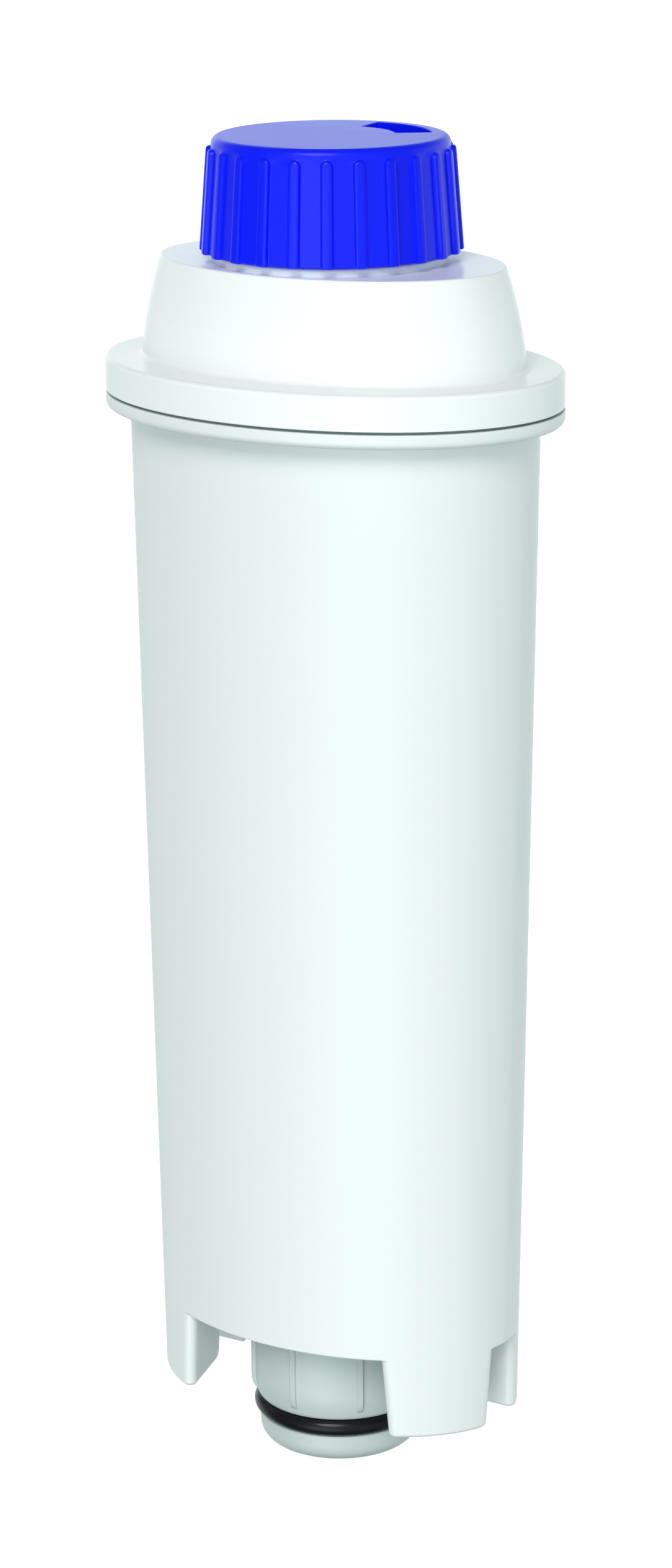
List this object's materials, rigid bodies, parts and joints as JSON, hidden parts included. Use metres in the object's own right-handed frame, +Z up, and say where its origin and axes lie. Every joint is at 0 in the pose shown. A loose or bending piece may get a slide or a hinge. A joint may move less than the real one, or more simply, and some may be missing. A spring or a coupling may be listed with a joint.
{
  "type": "water tank filter cartridge",
  "caption": "Oval water softener cartridge with legs, a sealed outlet spigot below and a ribbed month selector knob on its domed lid.",
  "frame": {"origin": "on the spigot's axis, at the lowest point of its tip", "axes": "+X along the long axis of the oval, +Y along its short axis, +Z up along the spigot and knob axis"},
  "size_m": [0.0516, 0.0374, 0.145],
  "materials": {
    "white_shell": "moulded white plastic, satin gloss",
    "blue_knob": "moulded blue plastic, satin gloss",
    "blue_dial": "moulded deep blue plastic, matt",
    "pale_grey_spigot": "moulded pale grey plastic, satin",
    "grey_gasket": "grey elastomer, matt",
    "dark_seal": "dark elastomer, matt",
    "black_rubber": "black rubber, slightly greased",
    "white_inner": "moulded white plastic, matt",
    "fine_mesh": "fine woven plastic mesh",
    "fleece": "needle-punched fleece",
    "carbon": "packed black granules, matt",
    "resin": "packed amber beads, wet gloss"
  },
  "bodies": {
    "cartridge": {"housing": "white_shell", "lid": "white_shell", "flange_gasket": "grey_gasket", "month_dial": "blue_dial", "outlet_spigot": "pale_grey_spigot", "spigot_o_ring": "black_rubber", "spigot_seal": "dark_seal", "outlet_screen": "white_inner", "centre_tube": "white_inner", "tube_o_ring": "black_rubber", "bottom_frame": "white_inner", "bottom_mesh": "fine_mesh", "bottom_fleece": "fleece", "carbon_bed": "carbon", "separator_fleece": "fleece", "resin_bed": "resin", "top_fleece": "fleece", "top_mesh": "fine_mesh", "top_frame": "white_inner"},
    "knob": {"selector_knob": "blue_knob"}
  },
  "joints": [
    {"name": "selector_turn", "type": "hinge", "parent": "cartridge", "child": "knob", "pos_m": [0, 0, 0.139], "axis": [0, 0, 1], "continuous": true}
  ]
}
